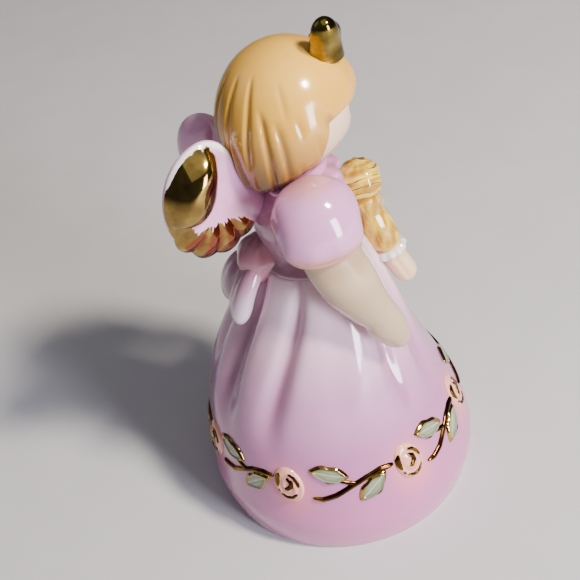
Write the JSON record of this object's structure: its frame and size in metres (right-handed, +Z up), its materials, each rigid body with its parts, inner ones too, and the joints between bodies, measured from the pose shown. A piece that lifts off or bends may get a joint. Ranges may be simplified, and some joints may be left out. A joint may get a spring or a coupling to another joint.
{
  "type": "porcelain figurine bell",
  "caption": "Slip-cast porcelain hand bell: a winged girl holding a doll, her hollow pleated skirt the bell, with a bead clapper on a wire link inside.",
  "frame": {"origin": "middle of the skirt's flat rim, on the surface the bell stands on", "axes": "+Z up; the girl faces -Y; her right side is -X; wings and sash are at +Y"},
  "size_m": [0.064, 0.064, 0.1199],
  "materials": {
    "lilac_glaze": "clear gloss glaze over lilac-pink airbrushed colour",
    "blush_glaze": "clear gloss glaze over near-white pink",
    "wing_glaze": "clear gloss glaze over pale pink, outer end and feather tips in fired gold",
    "skin_glaze": "clear gloss glaze over warm beige, blushed cheeks",
    "hair_glaze": "clear gloss glaze over honey blonde",
    "gold_lustre": "fired bright gold over glaze, mirror bright",
    "doll_yellow_glaze": "clear gloss glaze over brushed yellow and brown",
    "white_glaze": "clear gloss glaze over white body",
    "rose_glaze": "clear gloss glaze over peach pink, gold brush strokes",
    "leaf_glaze": "clear gloss glaze over sage green, gold outline",
    "plaster": "matt cast plaster",
    "steel_wire": "drawn wire, slightly dulled"
  },
  "bodies": {
    "bell": {"skirt": "lilac_glaze", "bodice": "lilac_glaze", "collar": "blush_glaze", "head": "skin_glaze", "hair": "hair_glaze", "hair_bow_knot": "gold_lustre", "hair_bow_right_loop": "gold_lustre", "hair_bow_left_loop": "gold_lustre", "right_sleeve": "lilac_glaze", "left_sleeve": "lilac_glaze", "right_arm": "skin_glaze", "left_arm": "skin_glaze", "right_wing": "wing_glaze", "left_wing": "wing_glaze", "sash_knot": "lilac_glaze", "sash_right_loop": "blush_glaze", "sash_left_loop": "blush_glaze", "doll_head": "skin_glaze", "doll_hair": "doll_yellow_glaze", "doll_dress": "doll_yellow_glaze", "doll_petticoat": "white_glaze", "doll_legs": "skin_glaze", "garland_vine": "gold_lustre", "hanger_plug": "plaster", "hanger_staple": "steel_wire", "rose_1": "rose_glaze", "rose_2": "rose_glaze", "rose_3": "rose_glaze", "rose_4": "rose_glaze", "rose_5": "rose_glaze", "rose_6": "rose_glaze", "rose_7": "rose_glaze", "upper_leaf_1": "leaf_glaze", "upper_leaf_2": "leaf_glaze", "upper_leaf_3": "leaf_glaze", "upper_leaf_4": "leaf_glaze", "upper_leaf_5": "leaf_glaze", "upper_leaf_6": "leaf_glaze", "upper_leaf_7": "leaf_glaze", "lower_leaf_1": "leaf_glaze", "lower_leaf_2": "leaf_glaze", "lower_leaf_3": "leaf_glaze", "lower_leaf_4": "leaf_glaze", "lower_leaf_5": "leaf_glaze", "lower_leaf_6": "leaf_glaze", "lower_leaf_7": "leaf_glaze"},
    "hanger_link": {"link": "steel_wire"},
    "clapper": {"clapper_wire": "steel_wire", "clapper_crimp": "steel_wire", "clapper_bead": "white_glaze"}
  },
  "joints": [
    {"name": "link_swing", "type": "hinge", "parent": "bell", "child": "hanger_link", "pos_m": [0, 0, 0.052], "axis": [1, 0, 0], "range_deg": [-23, 23]},
    {"name": "clapper_swing", "type": "hinge", "parent": "hanger_link", "child": "clapper", "pos_m": [0, 0, 0.04745], "axis": [0, 1, 0], "range_deg": [-10, 10]}
  ]
}
